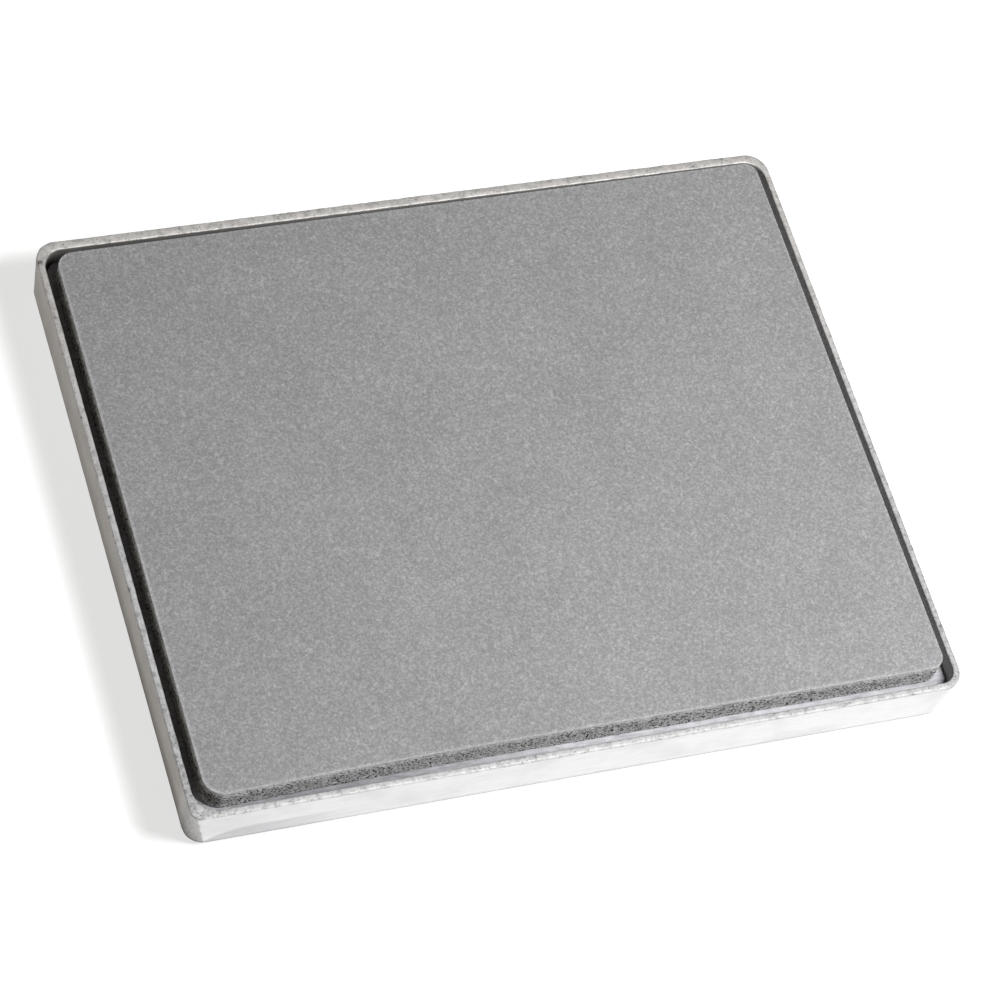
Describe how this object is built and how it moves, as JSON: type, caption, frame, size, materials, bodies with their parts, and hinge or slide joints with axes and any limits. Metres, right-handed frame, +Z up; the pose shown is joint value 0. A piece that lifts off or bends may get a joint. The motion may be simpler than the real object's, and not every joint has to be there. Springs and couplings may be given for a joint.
{
  "type": "granite tooling slab",
  "caption": "Flat granite slab with rounded corners lying on a rubber mat in a shallow cast aluminium tray on small rubber feet; a hard, level base for stamping and skiving leather.",
  "frame": {"origin": "on the bench, under the middle of the tray", "axes": "+Z up out of the slab's working face, +X along the long side, -Y towards the front edge"},
  "size_m": [0.2656, 0.2172, 0.0277],
  "materials": {
    "granite": "honed, fine grey fleck",
    "cast_aluminium": "as cast, hand-ground rim",
    "mat_rubber": "matt, pale grey",
    "foot_rubber": "matt black"
  },
  "bodies": {
    "tray": {"tray": "cast_aluminium", "rubber_mat": "mat_rubber", "foot_front_left": "foot_rubber", "foot_front_right": "foot_rubber", "foot_back_left": "foot_rubber", "foot_back_right": "foot_rubber"},
    "slab": {"granite_slab": "granite"}
  },
  "joints": [
    {"name": "slab_lift", "type": "slide", "parent": "tray", "child": "slab", "axis": [0, 0, 1], "range_m": [0, 0.03]}
  ]
}
